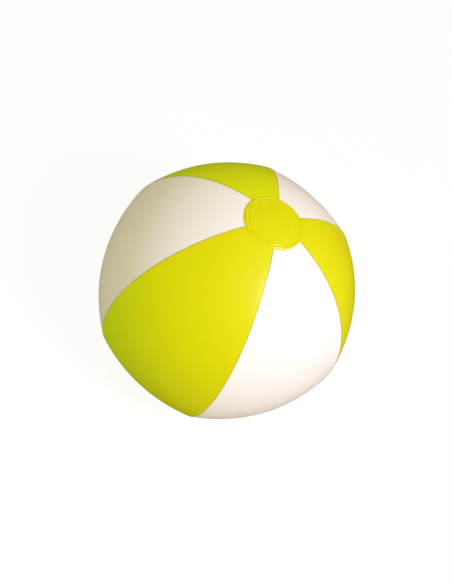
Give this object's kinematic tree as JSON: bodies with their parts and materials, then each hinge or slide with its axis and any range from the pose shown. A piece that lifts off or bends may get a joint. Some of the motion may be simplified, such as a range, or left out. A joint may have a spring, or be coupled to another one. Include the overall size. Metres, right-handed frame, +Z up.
{
  "type": "inflatable beach ball",
  "caption": "Round inflatable ball of alternating yellow and white welded film panels, with a patch at each end and a push-in valve with a plug, for play on a beach or in a pool.",
  "frame": {"origin": "centre of the ball", "axes": "+Z up along the polar axis, away from the flat spot that the ball rests on; +X along the widest line, through two opposite seams; -Y out of the middle of the front yellow panel"},
  "size_m": [0.2696, 0.2605, 0.2566],
  "materials": {
    "yellow_vinyl": "satin",
    "white_vinyl": "satin",
    "valve_vinyl": "satin",
    "flap_film": "gloss"
  },
  "bodies": {
    "ball": {"yellow_panel_front": "yellow_vinyl", "yellow_panel_right": "yellow_vinyl", "yellow_panel_back": "yellow_vinyl", "white_panel_right": "white_vinyl", "white_panel_back": "white_vinyl", "white_panel_left": "white_vinyl", "end_patch_top": "yellow_vinyl", "end_patch_bottom": "yellow_vinyl", "valve_flange": "valve_vinyl", "valve_sleeve": "valve_vinyl"},
    "stem": {"valve_stem": "valve_vinyl", "valve_strap": "valve_vinyl"},
    "plug": {"valve_plug": "valve_vinyl"},
    "flap": {"valve_flap": "flap_film"}
  },
  "joints": [
    {"name": "valve_push", "type": "slide", "parent": "ball", "child": "stem", "axis": [-0.7496, 0.4328, -0.5008], "range_m": [0, 0.017], "deforming": ["valve_sleeve"]},
    {"name": "plug_pull", "type": "slide", "parent": "stem", "child": "plug", "axis": [-0.7496, 0.4328, -0.5008], "range_m": [0, 0.011], "deforming": ["valve_strap"]},
    {"name": "flap_swing", "type": "hinge", "parent": "stem", "child": "flap", "pos_m": [-0.08604, 0.04968, -0.06462], "axis": [0.5, 0.866, 0], "range_deg": [0, 60], "stiffness_Nm_per_rad": 0.0003}
  ]
}
